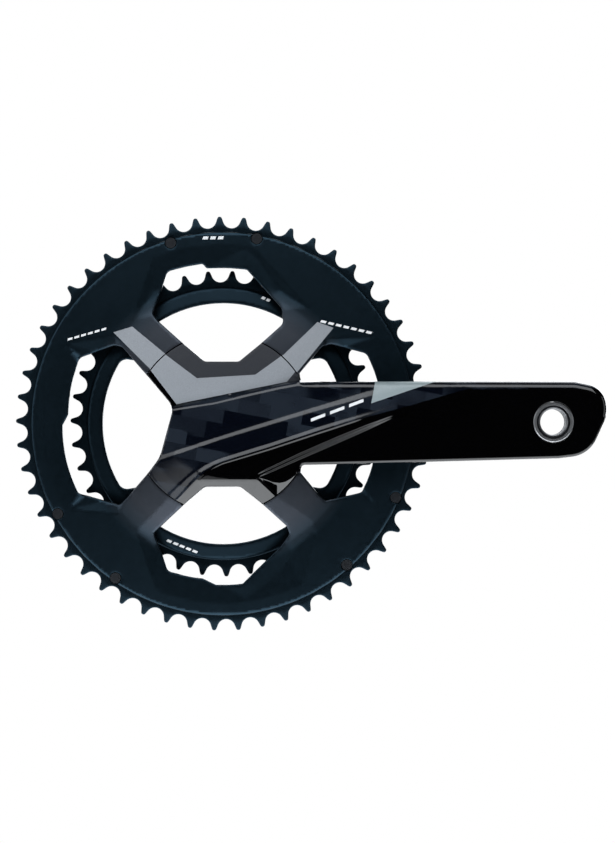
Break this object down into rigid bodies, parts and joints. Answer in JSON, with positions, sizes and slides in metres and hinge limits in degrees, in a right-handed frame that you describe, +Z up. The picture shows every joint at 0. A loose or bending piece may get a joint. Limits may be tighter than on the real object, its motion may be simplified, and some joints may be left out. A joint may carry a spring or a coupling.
{
  "type": "bicycle crankset",
  "caption": "Drive-side road crank arm with a four-arm spider and two chainrings, on a hollow spindle in a press-in bottom bracket.",
  "frame": {"origin": "middle of the bottom bracket shell, on the spindle axis", "axes": "+X along the crank arm, towards the pedal; +Y along the spindle, to the rider's left; +Z up"},
  "size_m": [0.3097, 0.1393, 0.2187],
  "materials": {
    "gloss_carbon": "clear gloss over dark woven carbon",
    "dark_anodised": "satin navy-black anodised",
    "bright_alloy": "machined, satin",
    "black_alloy": "black anodised",
    "bearing_steel": "ground",
    "pin_steel": "riveted, satin",
    "seal_rubber": "matte",
    "shield_plastic": "matte moulded",
    "cage_plastic": "matte moulded"
  },
  "bodies": {
    "bottom_bracket": {"bearing_housing": "black_alloy", "right_outer_race": "bearing_steel", "left_outer_race": "bearing_steel", "bearing_seals": "seal_rubber", "snap_rings": "bearing_steel"},
    "crank": {"crank_arm": "gloss_carbon", "hub_insert": "bright_alloy", "pedal_insert": "bright_alloy", "spindle": "black_alloy", "outer_chainring": "dark_anodised", "inner_chainring": "dark_anodised", "chainring_bolts": "bright_alloy", "shift_pins": "pin_steel", "chain_catch_pin": "pin_steel", "right_inner_race": "bearing_steel", "left_inner_race": "bearing_steel", "right_dust_shield": "shield_plastic", "left_dust_shield": "shield_plastic"},
    "right_ball_set": {"right_balls": "bearing_steel", "right_cage": "cage_plastic"},
    "left_ball_set": {"left_balls": "bearing_steel", "left_cage": "cage_plastic"}
  },
  "joints": [
    {"name": "crank_spin", "type": "hinge", "parent": "bottom_bracket", "child": "crank", "pos_m": [0, 0, 0], "axis": [0, 1, 0], "continuous": true},
    {"name": "right_balls_roll", "type": "hinge", "parent": "bottom_bracket", "child": "right_ball_set", "pos_m": [0, -0.0385, 0], "axis": [0, 1, 0], "continuous": true},
    {"name": "left_balls_roll", "type": "hinge", "parent": "bottom_bracket", "child": "left_ball_set", "pos_m": [0, 0.0385, 0], "axis": [0, 1, 0], "continuous": true}
  ],
  "couplings": [
    {"joint": "right_balls_roll", "follows": "crank_spin", "ratio": 0.4528},
    {"joint": "left_balls_roll", "follows": "crank_spin", "ratio": 0.4528}
  ]
}
